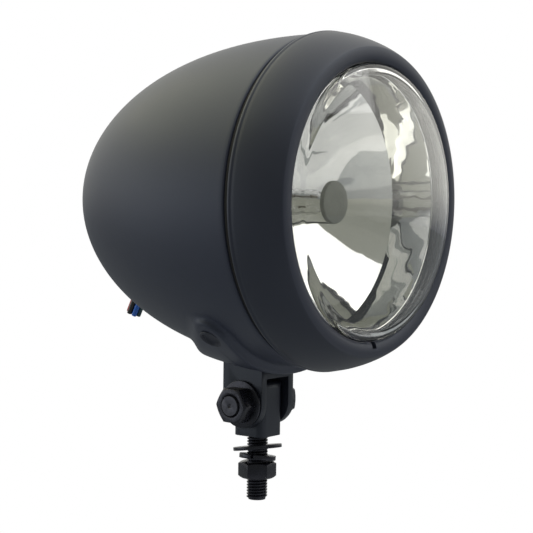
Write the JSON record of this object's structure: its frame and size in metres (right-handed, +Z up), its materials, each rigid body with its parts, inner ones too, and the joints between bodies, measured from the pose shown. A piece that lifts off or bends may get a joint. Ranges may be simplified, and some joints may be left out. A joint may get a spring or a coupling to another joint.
{
  "type": "motorcycle headlight",
  "caption": "Round motorcycle headlight: matte bullet shell, deep bezel, domed clear glass over a mirrored bowl, on a tilting bottom bracket with a threaded stud.",
  "frame": {"origin": "on the stud's axis at the mount block's foot", "axes": "the lamp faces -Y, +Z up, +X to the right when looking at the lamp from its front"},
  "size_m": [0.1666, 0.1885, 0.2363],
  "materials": {
    "body_paint": "matte black",
    "bracket_paint": "satin black",
    "black_steel": "black plated, satin",
    "plain_steel": "zinc plated",
    "clear_glass": "clear, polished",
    "bulb_glass": "clear, polished",
    "mirror": "vacuum metal on a smooth bowl",
    "shield_grey": "matte dark grey",
    "filament": "bare wire",
    "contact_brass": "plain",
    "connector_black": "moulded",
    "rubber_black": "moulded",
    "wire_red": "wire cover",
    "wire_white": "wire cover",
    "wire_blue": "wire cover",
    "wire_dark": "wire cover",
    "wire_black": "wire cover"
  },
  "bodies": {
    "mount": {"mount_block": "bracket_paint", "stud": "black_steel", "flat_washer": "black_steel", "spring_washer": "black_steel", "stud_nut": "black_steel"},
    "lamp": {"shell": "body_paint", "pad_plugs": "rubber_black", "bezel": "body_paint", "bezel_gasket": "rubber_black", "bezel_screw": "black_steel", "retaining_ring": "plain_steel", "unit_clips": "plain_steel", "lens_seal": "rubber_black", "lens": "clear_glass", "reflector": "mirror", "bulb_shield": "shield_grey", "bulb_glass": "bulb_glass", "filaments": "filament", "bulb_base": "plain_steel", "bulb_clip": "plain_steel", "bulb_boot": "rubber_black", "connector": "connector_black", "terminals": "contact_brass", "parking_bulb": "bulb_glass", "parking_holder": "rubber_black", "parking_leads": "wire_dark", "wire_grommet": "rubber_black", "wire_red": "wire_red", "wire_white": "wire_white", "wire_blue": "wire_blue", "wire_dark": "wire_dark", "wires_black": "wire_black", "clevis_bracket": "bracket_paint", "bracket_screws": "black_steel", "bracket_nuts": "plain_steel", "backing_plate": "plain_steel", "pivot_bolt": "black_steel", "pivot_nut": "black_steel", "pivot_washers": "black_steel"}
  },
  "joints": [
    {"name": "tilt", "type": "hinge", "parent": "mount", "child": "lamp", "pos_m": [0, 0, 0.017], "axis": [1, 0, 0], "range_deg": [-20, 20]}
  ]
}
